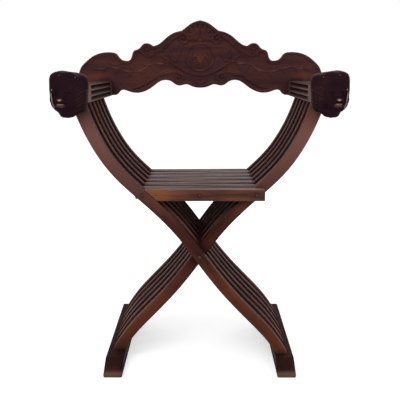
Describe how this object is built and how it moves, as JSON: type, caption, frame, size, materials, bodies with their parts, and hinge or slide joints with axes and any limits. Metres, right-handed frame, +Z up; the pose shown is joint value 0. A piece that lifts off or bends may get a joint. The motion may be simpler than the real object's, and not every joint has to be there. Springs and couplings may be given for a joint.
{
  "type": "savonarola chair",
  "caption": "Savonarola folding chair: interleaved curved wooden legs crossing on a rod, slatted seat, fluted arms with animal heads, sled runners and a carved lift-off crest rail.",
  "frame": {"origin": "on the floor, at the middle of the chair's bounding box", "axes": "+X to the right seen from the front, +Y from the front to the back, +Z up"},
  "size_m": [0.7144, 0.5984, 0.85],
  "materials": {
    "dark_wood": "waxed dark walnut, worn arrises",
    "seat_wood": "waxed walnut, rubbed on top",
    "carved_wood": "dark stained carving with worn highlights",
    "rod_metal": "darkened steel"
  },
  "bodies": {
    "left_frame": {"leg_left_1": "dark_wood", "leg_left_2": "dark_wood", "leg_left_3": "dark_wood", "leg_left_4": "dark_wood", "leg_left_5": "dark_wood", "leg_left_6": "dark_wood", "arm_left": "dark_wood", "head_left": "carved_wood", "runner_right": "dark_wood", "rod_crossing": "rod_metal", "rod_left": "rod_metal"},
    "right_frame": {"leg_right_1": "dark_wood", "leg_right_2": "dark_wood", "leg_right_3": "dark_wood", "leg_right_4": "dark_wood", "leg_right_5": "dark_wood", "leg_right_6": "dark_wood", "arm_right": "dark_wood", "head_right": "carved_wood", "runner_left": "dark_wood", "rod_right": "rod_metal"},
    "seat_even": {"seat_slat_2": "seat_wood", "seat_slat_4": "seat_wood", "seat_slat_6": "seat_wood", "seat_slat_8": "seat_wood", "seat_slat_10": "seat_wood", "seat_slat_12": "seat_wood", "rod_middle_even": "rod_metal"},
    "seat_odd": {"seat_slat_1": "seat_wood", "seat_slat_3": "seat_wood", "seat_slat_5": "seat_wood", "seat_slat_7": "seat_wood", "seat_slat_9": "seat_wood", "seat_slat_11": "seat_wood", "rod_middle_odd": "rod_metal"},
    "crest": {"crest_rail": "carved_wood"}
  },
  "joints": [
    {"name": "fold", "type": "hinge", "parent": "left_frame", "child": "right_frame", "pos_m": [0, -0.0482, 0.272], "axis": [0, -1, 0], "range_deg": [0, 58]},
    {"name": "seat_even_turn", "type": "hinge", "parent": "left_frame", "child": "seat_even", "pos_m": [-0.134, -0.0482, 0.421], "axis": [0, -1, 0], "range_deg": [0, 99.5]},
    {"name": "seat_odd_turn", "type": "hinge", "parent": "right_frame", "child": "seat_odd", "pos_m": [0.134, -0.0482, 0.421], "axis": [0, 1, 0], "range_deg": [0, 99.5]},
    {"name": "crest_lift", "type": "slide", "parent": "left_frame", "child": "crest", "axis": [0, 0, 1], "range_m": [0, 0.06]}
  ],
  "couplings": [
    {"joint": "seat_even_turn", "follows": "fold", "ratio": 1.7137},
    {"joint": "seat_odd_turn", "follows": "fold", "ratio": 1.7137}
  ]
}
